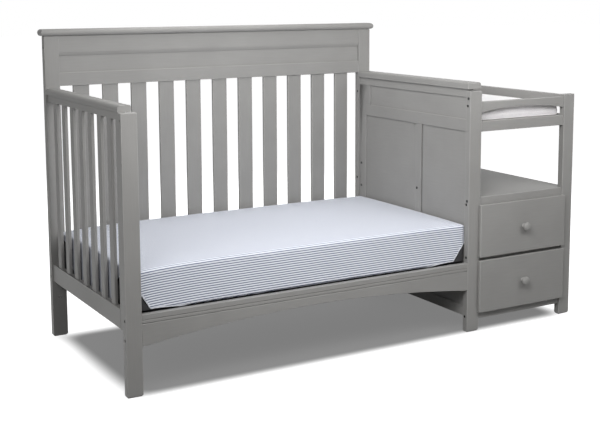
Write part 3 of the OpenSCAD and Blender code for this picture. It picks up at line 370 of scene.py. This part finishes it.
def easedBoard(node, axis, roundover, ends):
    # a copy of the node, merged and with its flats rejoined; sharp edges along the grain, and at the ends where they
    # are eased too, get a bevel weight, cut back where a face beside them is narrow, and a bevel rounds them over
    mesh = frame["nodes"][node].data.copy()
    mesh.name = node + "_eased"
    bm = bmesh.new()
    bm.from_mesh(mesh)
    bmesh.ops.remove_doubles(bm, verts=bm.verts, dist=mergeDistance)
    bmesh.ops.dissolve_limit(bm, angle_limit=math.radians(easing["flat"]), verts=bm.verts, edges=bm.edges)
    weight = bm.edges.layers.float.new("bevel_weight_edge")
    for edge in bm.edges:
        sharp = len(edge.link_faces) == 2 and edge.calc_face_angle() > math.radians(easing["sharp"])
        edge.smooth = not sharp
        if not sharp or edge.calc_length() < easing["shortest"] or edge.calc_face_angle_signed() < 0:
            continue
        start = edge.verts[0].co
        way = (edge.verts[1].co - start).normalized()
        if not ends and abs(way.dot(axisVector[axis])) < easing["along"]:
            continue
        room = min(max((v.co - start).cross(way).length for v in face.verts) for face in edge.link_faces)
        edge[weight] = min(1.0, easing["share"] * room / roundover)
    for face in bm.faces:
        face.smooth = True
    bm.to_mesh(mesh)
    bm.free()
    board = bpy.data.objects.new(node + "_board", mesh)
    bpy.context.scene.collection.objects.link(board)
    mesh.materials.clear()
    mesh.materials.append(paint[axis])
    mesh.materials.append(paintEdgeHighlight[axis])
    bevel = board.modifiers.new("roundover", "BEVEL")
    bevel.width, bevel.segments, bevel.limit_method = roundover, easing["steps"], "WEIGHT"
    # the bevel's faces take the second, paler finish: a painted highlight along each rounded edge
    bevel.use_clamp_overlap, bevel.harden_normals, bevel.material = False, True, 1  # the second finish, paintEdgeHighlight
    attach(board, bodyOf[node])
    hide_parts(node)


for node, (axis, roundover, ends) in boards.items():
    easedBoard(node, axis, roundover, ends)
for node, axis in flatBoards.items():
    dress(node, paint[axis])
for drawer in ("upper", "lower"):
    for part, finish in (("box_sides", ply["y"]), ("box_ends", ply["x"]), ("bottom", ply["x"]),
                         ("slides", zincSteel), ("knob_screw", zincSteel)):
        dress(drawer + "_" + part, finish)
for node, finish in (("support_frame", blackSteel), ("support_wires", blackSteel), ("support_brackets", blackSteel),
                     ("hole_caps", capPlastic), ("frame_bolts", darkSteel), ("support_bolts", darkSteel),
                     ("barrel_nuts", zincSteel), ("slide_channels", zincSteel)):
    dress(node, finish)
print("boards:", len(boards) + len(flatBoards))


def meshPiece(name, points, faces, material, uv=None):
    # a new piece from whole arrays of points and quads; uv gives one pair per point
    mesh = bpy.data.meshes.new(name)
    mesh.from_pydata(points.tolist(), [], faces.tolist())
    mesh.polygons.foreach_set("use_smooth", np.ones(len(mesh.polygons), bool))
    if uv is not None:
        layer = mesh.uv_layers.new(name="cloth")
        corner = np.empty(len(mesh.loops), np.int32)
        mesh.loops.foreach_get("vertex_index", corner)
        layer.data.foreach_set("uv", uv[corner].astype(np.float32).ravel())
    mesh.materials.append(material)
    piece = bpy.data.objects.new(name, mesh)
    bpy.context.scene.collection.objects.link(piece)
    return piece


def gridFaces(rows, columns, closed=False):
    # quads between neighbouring rows and columns of a grid numbered row by row: (r, c), (r, c + 1), (r + 1, c + 1) and
    # (r + 1, c); closed joins the last column to the first
    r, c = np.meshgrid(np.arange(rows - 1), np.arange(columns if closed else columns - 1), indexing="ij")
    here, beside = r * columns + c, r * columns + (c + 1) % columns
    return np.stack([here, beside, beside + columns, here + columns], -1).reshape(-1, 4)


def pointsOf(mesh, what="co"):
    # places or normals of a mesh's points, one row each
    values = np.empty(len(mesh.vertices) * 3, np.float32)
    mesh.vertices.foreach_get(what, values)
    return values.reshape(-1, 3)


def putPoints(mesh, points):
    mesh.vertices.foreach_set("co", points.astype(np.float32).ravel())
    mesh.update()


def faceOutward(piece, merge=0.0):
    # turns every face outwards, after merging points that are nearer than merge
    bm = bmesh.new()
    bm.from_mesh(piece.data)
    if merge:
        bmesh.ops.remove_doubles(bm, verts=bm.verts, dist=merge)
    bmesh.ops.recalc_face_normals(bm, faces=bm.faces)
    bm.to_mesh(piece.data)
    bm.free()


def settle(piece):
    # makes the modifiers' result the piece's own mesh
    graph = bpy.context.evaluated_depsgraph_get()
    mesh = bpy.data.meshes.new_from_object(piece.evaluated_get(graph))
    piece.modifiers.clear()
    piece.data = mesh
    return mesh


# knob: half its profile as (radius, distance out from the drawer front) in mm
knob = {"profile": ((0.0, 27.0), (4.0, 26.9), (8.5, 26.2), (12.5, 24.6), (15.6, 22.0), (17.0, 18.8), (16.4, 15.9),
                    (13.4, 13.6), (9.6, 11.6), (7.6, 9.0), (7.4, 6.0), (8.6, 2.6), (10.4, 0.9), (10.8, 0.0),
                    (0.0, 0.0)), "sides": 48}


def turnedKnob(name, node, body):
    # the profile, brought to the node's size, turned about a line along Y: (r cos(turn), -out, r sin(turn))
    low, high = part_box(node)
    r, out = np.array(knob["profile"]).T / 1000
    out = out * (high.y - low.y) / out.max()
    r = r * (high.x - low.x) / 2 / r.max()
    turn = np.linspace(0, 2 * math.pi, knob["sides"], endpoint=False)
    x = (low.x + high.x) / 2 + r[:, None] * np.cos(turn)
    z = (low.z + high.z) / 2 + r[:, None] * np.sin(turn)
    y = np.repeat((high.y - out)[:, None], len(turn), 1)
    piece = meshPiece(name, np.stack([x, y, z], -1).reshape(-1, 3), gridFaces(len(r), len(turn), True), paint["z"])
    faceOutward(piece, mergeDistance)
    smooth = piece.modifiers.new("turned", "SUBSURF")
    smooth.levels = smooth.render_levels = 1
    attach(piece, body)
    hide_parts(node)


for drawer in ("upper", "lower"):
    turnedKnob(drawer + "_turned_knob", drawer + "_knob", drawer + "_drawer")
print("knobs turned")


def spaced(half, size):
    # places along one side of a block: close together next to its ends, one cell apart between them
    close = np.array(size["close"])
    inner = half - close[-1]
    middle = np.linspace(-inner, inner, int(round(2 * inner / size["cell"])) + 1)
    return np.concatenate([close[:-1] - half, middle, (half - close[:-1])[::-1]])


def blockSkin(half, edge, size):
    # the skin of a block on six grids, one on each side of the plain box, with its edges and corners rolled
    faces, points, count = [], [], 0
    for axis in range(3):
        u, v = (axis + 1) % 3, (axis + 2) % 3
        for side in (-1, 1):
            a, b = (spaced(half[k], size) for k in (u, v))
            q = np.zeros((len(a), len(b), 3))
            q[..., u], q[..., v], q[..., axis] = a[:, None], b[None, :], side * half[axis]
            quads = gridFaces(len(a), len(b))
            faces.append((quads if side > 0 else quads[:, ::-1]) + count)
            points.append(q.reshape(-1, 3))
            count += len(points[-1])
    return rollEdges(np.concatenate(points), half, edge), np.concatenate(faces)


# heights, from -1 at the bottom to 1 at the top, between which the radius changes from that of the lower edges to that
# of the upright corners, and on to that of the upper edges
rollHeights = (-1, -0.8, 0.7, 1)


def rollEdges(q, half, edges):
    # q lies on the plain box and c is q held inside it by the radius; the point is c + radius * unit(q - c);
    # edges: the radius of the lower edges, the upright corners and the upper edges
    below, corner, above = edges
    edge = np.interp(q[:, 2:] / half[2], rollHeights, (below, corner, corner, above))
    c = np.clip(q, edge - np.array(half), np.array(half) - edge)
    d = q - c
    return c + edge * d / np.linalg.norm(d, axis=1, keepdims=True)


# how the skins are filled: frames of the simulation, and the cloth's own settings
filling = {"frames": 20, "cloth": {"quality": 5, "mass": 0.4, "tension_stiffness": 25, "compression_stiffness": 25,
                                   "bending_stiffness": 2}}


def swell(piece, pressure, most):
    # inflates the closed skin as cloth, then keeps each point within "most" of where it began
    start = pointsOf(piece.data)
    cloth = piece.modifiers.new("fill", "CLOTH")
    for key, value in filling["cloth"].items():
        setattr(cloth.settings, key, value)
    cloth.settings.use_pressure, cloth.settings.uniform_pressure_force = True, pressure
    cloth.settings.effector_weights.gravity = 0
    cloth.collision_settings.use_collision = False
    for number in range(1, filling["frames"] + 1):
        bpy.context.scene.frame_set(number)
    move = pointsOf(settle(piece)) - start
    length = np.linalg.norm(move, axis=1, keepdims=True)
    move *= np.minimum(1, most / np.maximum(length, 1e-9))  # 1e-9 keeps a point that stays put from dividing by 0
    putPoints(piece.data, start + move)
    bpy.context.scene.frame_set(1)
    print("swelled", piece.name, "most move mm", round(float(length.max()) * 1000, 1))


# mattress: foam core in black ticking; sizes in metres. "close" are the first points next to an edge and "cell" the
# spacing after them, "edges" the radii that rollEdges takes, "inset" how far the sides stand in from the node's box,
# "below" how far its top lies under the box's, "crown" how far the middle rises above that, "dips" and "reach" how far
# the corners of the left and right end sink and over what length, "most" how far the filling may move a point, and
# "rest" what is kept free under it
mattress = {"cell": 0.016, "close": (0, 0.003, 0.006, 0.010, 0.016, 0.026), "edges": (0.003, 0.006, 0.007),
            "inset": -0.002, "below": 0, "crown": 0.004, "pullIn": 0.0005, "dips": (0.014, 0.003), "reach": 0.13,
            "pressure": 4.0, "most": 0.0015, "rest": 0.0002}


def cornerDip(points, half, size):
    # how far the top lies lower: dip * exp(-(sum of the distances from both sides of the corner) / reach)
    away = (half[0] - np.abs(points[..., 0])) + (half[1] - np.abs(points[..., 1]))
    return np.where(points[..., 0] < 0, *size["dips"]) * np.exp(-np.clip(away, 0, None) / size["reach"])


def sagCorners(points, half, size):
    # lowers the points by the full dip at the top and by none at the bottom
    points[:, 2] -= cornerDip(points, half, size) * np.clip(0.5 + points[:, 2] / half[2] / 2, 0, 1)
    return points


def softBlock(name, node, body, size, material):
    low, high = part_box(node)
    middle = np.array((low + high) / 2)
    half = np.array((high - low) / 2) - size["inset"] * np.array((1, 1, 0)) - size["below"] * np.array((0, 0, 0.5))
    middle[2] -= size["below"] / 2  # the underside stays where it rests
    points, faces = blockSkin(half, size["edges"], size)
    u, v, w = (points / half).T
    # the top rises towards the middle by crown * (1 - u^4)(1 - v^4); between the corners the ends draw in by
    # pullIn * (1 - v^2) |u|^8, and the front and back likewise
    points[:, 2] += size["crown"] * (1 - u ** 4) * (1 - v ** 4) * np.clip(w, 0, 1)
    points[:, 0] -= np.sign(u) * size["pullIn"] * (1 - v ** 2) * np.abs(u) ** 8
    points[:, 1] -= np.sign(v) * size["pullIn"] * (1 - u ** 2) * np.abs(v) ** 8
    piece = meshPiece(name, sagCorners(points, half, size) + middle, faces, material)
    faceOutward(piece, mergeDistance)
    swell(piece, size["pressure"], size["most"])
    smooth = piece.modifiers.new("soften", "SUBSURF")
    smooth.levels = smooth.render_levels = 1
    place = pointsOf(settle(piece))
    place[:, 2] = np.maximum(place[:, 2], low.z + size["rest"])  # flat where it lies
    putPoints(piece.data, place)
    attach(piece, body)
    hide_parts(node)
    return piece


core = softBlock("mattress_core", "mattress", "mattress", mattress, ticking)

# fitted sheet: covers the top, hangs down the sides and tucks under; its hem rises round each corner, where the
# mattress's own ticking shows. The grid is "fine" inside "fineZone" next to a corner and "coarse" between.
# "cornerDrop" is how far the hem lies under the top edge at a corner and "frontRun" how far its rise reaches along the
# front and back, each at the left and right end; "frontCurve" is its power, "rise" what it stays above the lower edge
# and "tuckRun" over what length it then goes under. On the ends it stays level over "endShelf", dipping by "endDip" of
# its whole fall, and goes down over "endRun". "phase" moves the stripes
fitted = {"coarse": 0.013, "fine": 0.005, "fineZone": 0.14, "rows": 26, "tuck": 0.05, "lift": 0.0012, "thick": 0.0007,
          "cornerDrop": (0.036, 0.068), "frontRun": (0.064, 0.049), "frontCurve": 1.2, "rise": 0.008, "tuckRun": 0.5,
          "endShelf": 0.09, "endRun": 0.10, "endDip": 0.1, "phase": -0.001, "rest": 0.0003, "areaShare": 0.93}
# pleats at its elastic: distance between them, height, how unevenly and how often that distance changes, how far from a
# corner they stay whole and how they fade beyond it and up from the hem; then the soft waves between hem and top edge
gathers = {"pitch": 0.017, "height": 0.0016, "uneven": 1.3, "unevenTurns": 31, "whole": 0.06, "fade": 0.12,
           "fadeUp": 0.022, "wave": 0.0007, "waveTurns": 43, "waveUneven": 2, "waveUnevenTurns": 9}
# hem and corner seams: oval cords of cloth, with this many sides
trim = {"hemWide": 0.006, "hemThick": 0.0018, "seam": 0.0022, "sides": 8}


def closerAtEnds(half):
    # points along a side, finer inside the zone next to each corner
    zone = np.linspace(0, fitted["fineZone"], int(fitted["fineZone"] / fitted["fine"]) + 1)
    middle = half - fitted["fineZone"]
    between = np.linspace(-middle, middle, int(2 * middle / fitted["coarse"]) + 1)[1:-1]
    return np.concatenate([zone - half, between, half - zone[::-1]])


def smoothStep(t):
    # 3 t^2 - 2 t^3, level at 0 and 1
    t = np.clip(t, 0, 1)
    return t * t * (3 - 2 * t)


def hemDepth(ring, onFront, half):
    # how far the hem is from the top edge, measured down the side and on under it, by distance from the corner;
    # front and back: from cornerDrop to just above the lower edge by (distance / run) to the power frontCurve, then
    # under it by a long smooth step; ends: a shallow half sine wave, then a smooth step
    away = np.where(onFront, half[0] - np.abs(ring[:, 0]), half[1] - np.abs(ring[:, 1]))
    drop, run = (np.where(ring[:, 0] < 0, *fitted[key]) for key in ("cornerDrop", "frontRun"))
    lower, tuck = 2 * half[2] - fitted["rise"], fitted["tuck"] + fitted["rise"]
    front = drop + (lower - drop) * np.clip(away / run, 0, 1) ** fitted["frontCurve"] \
        + tuck * smoothStep((away - run) / fitted["tuckRun"])
    end = smoothStep((away - fitted["endShelf"]) / fitted["endRun"]) \
        - fitted["endDip"] * np.sin(np.pi * np.clip(away / fitted["endShelf"], 0, 1))
    return away, np.where(onFront, front, drop + (lower + tuck - drop) * end)


def carryAlong(name, path, outward, wide, thick, sides, material, closed):
    # an oval profile carried along a path: point = path + thick * cos(angle) * outward + wide * sin(angle) * sideways
    if closed:
        along = np.roll(path, -1, 0) - np.roll(path, 1, 0)
    else:
        along = np.gradient(path, axis=0)
    along /= np.linalg.norm(along, axis=1, keepdims=True)
    sideways = np.cross(along, outward)
    sideways /= np.linalg.norm(sideways, axis=1, keepdims=True)
    turn = np.linspace(0, 2 * math.pi, sides, endpoint=False)
    points = path[:, None] + thick / 2 * np.cos(turn)[None, :, None] * outward[:, None] \
        + wide / 2 * np.sin(turn)[None, :, None] * sideways[:, None]
    rows = len(path)
    faces = gridFaces(rows, sides, True)
    if closed:
        first = np.arange(sides)
        last = (rows - 1) * sides + first
        faces = np.concatenate([faces, np.stack([last, np.roll(last, -1), np.roll(first, -1), first], -1)])
    length = np.concatenate([[0], np.cumsum(np.linalg.norm(np.diff(path, axis=0), axis=1))])
    uv = np.stack([np.repeat(length, sides), np.tile(turn * wide / 4, rows)], -1)
    piece = meshPiece(name, points.reshape(-1, 3), faces, material, uv)
    if not closed:
        # a face over each open end
        bm = bmesh.new()
        bm.from_mesh(piece.data)
        bmesh.ops.contextual_create(bm, geom=[e for e in bm.edges if e.is_boundary and e.verts[0].index < sides])
        bmesh.ops.contextual_create(bm, geom=[e for e in bm.edges if e.is_boundary])
        bm.to_mesh(piece.data)
        bm.free()
    faceOutward(piece)
    return piece


def fittedSheet():
    low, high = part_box("mattress")
    middle, half = np.array((low + high) / 2), np.array((high - low) / 2)
    xs, ys = closerAtEnds(half[0]), closerAtEnds(half[1])
    nx, ny = len(xs) - 1, len(ys) - 1
    gx, gy = np.meshgrid(xs, ys, indexing="ij")
    top = np.stack([gx, gy, np.full_like(gx, half[2])], -1).reshape(-1, 3)
    # the outline, point by point round the top: front, right, back, left, with the outward direction of each side
    ring = np.concatenate([np.stack(side, -1) for side in (
        (xs[:-1], np.full(nx, -half[1])), (np.full(ny, half[0]), ys[:-1]),
        (xs[:0:-1], np.full(nx, half[1])), (np.full(ny, -half[0]), ys[:0:-1]))])
    out = np.concatenate([np.tile(w, (n, 1)) for w, n in (((0, -1), nx), ((1, 0), ny), ((0, 1), nx), ((-1, 0), ny))])
    onFront = out[:, 1] != 0  # or on the back
    away, depth = hemDepth(ring, onFront, half)
    rows = np.linspace(0, 1, fitted["rows"] + 1)[1:]
    # the skirt: fall is a point's way from the top edge; what is left of it past the lower edge goes inwards under it
    fall = rows[:, None] * depth[None, :]
    down = np.minimum(fall, 2 * half[2])
    skirt = np.zeros(fall.shape + (3,))
    skirt[..., :2] = ring[None] - out[None] * (fall - down)[..., None]
    skirt[..., 2] = half[2] - down
    points = rollEdges(np.concatenate([top, skirt.reshape(-1, 3)]), half, mattress["edges"])
    points = sagCorners(points, half, mattress)
    # cloth coordinates: stripes run along the front and back, drooping near the corners; on the ends they turn down
    sag = cornerDip(skirt, half, mattress) * down / (2 * half[2])
    u = np.where(onFront, ring[:, 0], np.sign(ring[:, 0]) * (half[0] + fall))
    v = np.where(onFront, np.sign(ring[:, 1]) * (half[1] + fall - sag), ring[:, 1])
    uv = np.concatenate([top[:, :2], np.stack([u, v], -1).reshape(-1, 2)])
    uv[:, 1] += half[1] + fitted["phase"]
    # the elastic draws small pleats next to the hem, strongest round the corners; soft waves lie between hem and top:
    # height * (1 + sin(walk / pitch + unevenness)) / 2, fading by exp(-distance / fade)
    walk = np.concatenate([[0], np.cumsum(np.linalg.norm(np.diff(ring, axis=0), axis=1))])
    turn = 2 * math.pi * walk / gathers["pitch"] + gathers["uneven"] * np.sin(walk * gathers["unevenTurns"])
    along = np.exp(-np.maximum(away - gathers["whole"], 0) / gathers["fade"])
    up = np.exp(-(depth - fall) / gathers["fadeUp"])
    pleat = gathers["height"] * (0.5 + 0.5 * np.sin(turn)) * along * up
    turn = walk * gathers["waveTurns"] + gathers["waveUneven"] * np.sin(walk * gathers["waveUnevenTurns"])
    wave = gathers["wave"] * (1 + np.sin(turn)) * np.sin(np.pi * np.clip(down / (2 * half[2]), 0, 1))
    columns = len(ring)
    ringInTop = np.concatenate([np.arange(nx) * (ny + 1), nx * (ny + 1) + np.arange(ny),
                                np.arange(nx, 0, -1) * (ny + 1) + ny, np.arange(ny, 0, -1)])
    index = np.vstack([ringInTop, len(top) + np.arange(len(rows) * columns).reshape(len(rows), columns)])
    following = np.roll(index, -1, axis=1)
    skirtFaces = np.stack([index[:-1], index[1:], following[1:], following[:-1]], -1).reshape(-1, 4)
    faces = np.concatenate([gridFaces(nx + 1, ny + 1), skirtFaces])
    piece = meshPiece("fitted_sheet", points + middle, faces, cotton, uv)
    faceOutward(piece)
    wrap = piece.modifiers.new("over the core", "SHRINKWRAP")
    wrap.target, wrap.wrap_mode, wrap.offset = core, "ABOVE_SURFACE", fitted["lift"]
    mesh = settle(piece)
    normal = pointsOf(mesh, "normal")
    lift = np.concatenate([np.zeros(len(top)), (pleat + wave).ravel()])
    place = pointsOf(mesh) + normal * lift[:, None]
    place[:, 2] = np.maximum(place[:, 2], low.z + fitted["rest"])
    putPoints(mesh, place)
    # hem: the doubled edge round its elastic; seams: the stitched corners from the top edge down to the hem
    hem = carryAlong("sheet_hem", place[index[-1]], normal[index[-1]], trim["hemWide"], trim["hemThick"], trim["sides"],
                     hemCotton, True)
    corners = {"left_front": 0, "right_front": nx, "right_back": nx + ny, "left_back": 2 * nx + ny}
    seams = [carryAlong("sheet_seam_" + label, place[index[:, k]], normal[index[:, k]], trim["seam"], trim["seam"],
                        trim["sides"], hemCotton, False) for label, k in corners.items()]
    skin = piece.modifiers.new("cloth thickness", "SOLIDIFY")
    skin.thickness, skin.offset = fitted["thick"], 1.0
    settle(piece)
    for part in [piece, hem] + seams:
        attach(part, "mattress")
    return piece, [hem] + seams, half


sheet, trims, sheetHalf = fittedSheet()

# changing pad: foam under a plush cover, with the same entries as the mattress
padSize = {"cell": 0.012, "close": (0, 0.004, 0.008, 0.013, 0.020, 0.030), "edges": (0.014, 0.02, 0.018),
           "inset": 0.001, "below": 0.014, "crown": 0.013, "pullIn": 0.001, "dips": (0.008, 0.008), "reach": 0.045,
           "pressure": 5.0, "most": 0.003, "rest": 0.0002}
pad = softBlock("plush_pad", "changing_pad", "changing_pad", padSize, plush)
print("soft goods done")

# stage: pale paper, near white to the camera and in reflections and a darker bounce for the light itself. "glow" is
# its own light under the crib and in the open, "paintedShadow" and "seen" its colour there; the dark colour and weak
# glow under the crib are a painted shadow of its outline. "fade" is where, in metres outside that outline on the floor,
# the one turns into the other; "round" rounds that outline's corners. "ambient" is how strongly the white world lights
# the object
studio = {"floor": 30.0, "bounce": "#6c6c6c", "seen": "#f4f4f4", "paintedShadow": "#505050", "ambient": 0.12,
          "glow": (0.205, 0.92), "fade": (-0.085, 0.005), "round": 0.08}


def brightRay(tree):
    # 1 for what the camera sees, directly, mirrored or through glass
    ray = addNode(tree, "LightPath", {}).outputs
    seen = addNode(tree, "Math", {0: ray["Is Camera Ray"], 1: ray["Is Glossy Ray"]}, 0, operation="MAXIMUM")
    return addNode(tree, "Math", {0: seen, 1: ray["Is Transmission Ray"]}, 0, operation="MAXIMUM")


def studioPaper():
    material = bpy.data.materials.new("paleStudioPaper")
    material.use_nodes = True
    tree = material.node_tree
    tree.nodes.clear()
    seen = brightRay(tree)
    # how far a point lies outside the crib's outline on the floor: the longer of |x| - half length and |y| - half depth
    place = addNode(tree, "SeparateXYZ", {"Vector": addNode(tree, "TexCoord", {}, "Object")}).outputs
    beyond = []
    for k in (0, 1):
        away = addNode(tree, "Math", {0: place[k]}, 0, operation="ABSOLUTE")
        beyond.append(addNode(tree, "Math", {0: away, 1: cadHigh[k]}, 0, operation="SUBTRACT"))
    outside = addNode(tree, "Math", {0: beyond[0], 1: beyond[1], 2: studio["round"]}, 0, operation="SMOOTH_MAX")
    near, far = studio["fade"]
    # the painted shadow's mask: 0 under the crib, 1 in the open
    outsidePaintedShadow = addNode(tree, "MapRange", {"Value": outside, "From Min": near, "From Max": far}, "Result",
                     interpolation_type="SMOOTHSTEP")
    bounce, paintedShadow, bright = (toLinear(studio[part]) for part in ("bounce", "paintedShadow", "seen"))
    # under the crib the paper seen is painted dark: a painted shadow
    paper = addNode(tree, "Mix", {mixFactor: outsidePaintedShadow, mixFirst: paintedShadow, mixSecond: bright}, mixResult, data_type="RGBA")
    colour = addNode(tree, "Mix", {mixFactor: seen, mixFirst: bounce, mixSecond: paper}, mixResult, data_type="RGBA")
    matt = addNode(tree, "BsdfDiffuse", {"Color": colour}, "BSDF")
    # the weaker glow under the crib is part of the painted shadow; in the open the glow keeps the paper white
    low, high = studio["glow"]
    glow = addNode(tree, "MapRange", {"Value": outsidePaintedShadow, "To Min": low, "To Max": high}, "Result")
    shown = addNode(tree, "Math", {0: seen, 1: glow}, 0, operation="MULTIPLY")
    light = addNode(tree, "Emission", {"Strength": shown}, "Emission")
    addNode(tree, "OutputMaterial", {"Surface": addNode(tree, "AddShader", {0: matt, 1: light}, "Shader")})
    return material


def stageFloor():
    s = studio["floor"]
    corners = np.array([(-s, -s, 0), (s, -s, 0), (s, s, 0), (-s, s, 0)], float)
    meshPiece("stageFloor", corners, np.array([[0, 1, 2, 3]]), studioPaper())


stageFloor()
world = bpy.data.worlds.new("studioWorld")
bpy.context.scene.world = world
world.use_nodes = True
skyTree = world.node_tree
skyTree.nodes.clear()
strength = addNode(skyTree, "MapRange", {"Value": brightRay(skyTree), "To Min": studio["ambient"]}, "Result")
sky = addNode(skyTree, "Background", {"Color": (1, 1, 1, 1), "Strength": strength}, "Background")
addNode(skyTree, "OutputWorld", {"Surface": sky})

# lamps: softboxes (watts, size, place, aim): the key in front of the crib's open side, a small one above the bed,
# fills in front of the changer and at the crib's left end, and a wide one behind
lamps = {
    "keySoftbox": (19.4, (0.8, 0.8), (-0.5, -1.2, 1.5), (0.6, -0.1, 0.6)),
    "overBed": (8.2, (0.9, 0.5), (-0.3, 0.15, 1.9), (0.0, 0.05, 0.4)),
    "changerFill": (12.0, (0.9, 0.8), (0.9, -1.5, 1.5), (0.9, -0.1, 0.8)),
    "leftFill": (15.0, (1.2, 1.0), (-2.2, -1.5, 1.6), (-0.9, 0.0, 0.4)),
    "behind": (45.0, (2.6, 1.2), (1.2, 2.8, 1.7), (0.1, 0.4, 0.5)),
}
for name, (watts, (wide, tall), place, aim) in lamps.items():
    lamp = bpy.data.lights.new(name, "AREA")
    lamp.shape, lamp.energy, lamp.size, lamp.size_y = "RECTANGLE", watts, wide, tall
    stand = bpy.data.objects.new(name, lamp)
    stand.location = place
    stand.visible_glossy = name != "behind"  # which would lie as a glare on the lacquer
    stand.rotation_euler = (Vector(aim) - Vector(place)).to_track_quat("-Z", "Y").to_euler()
    bpy.context.scene.collection.objects.link(stand)
print("stage and lamps set")

print("done")
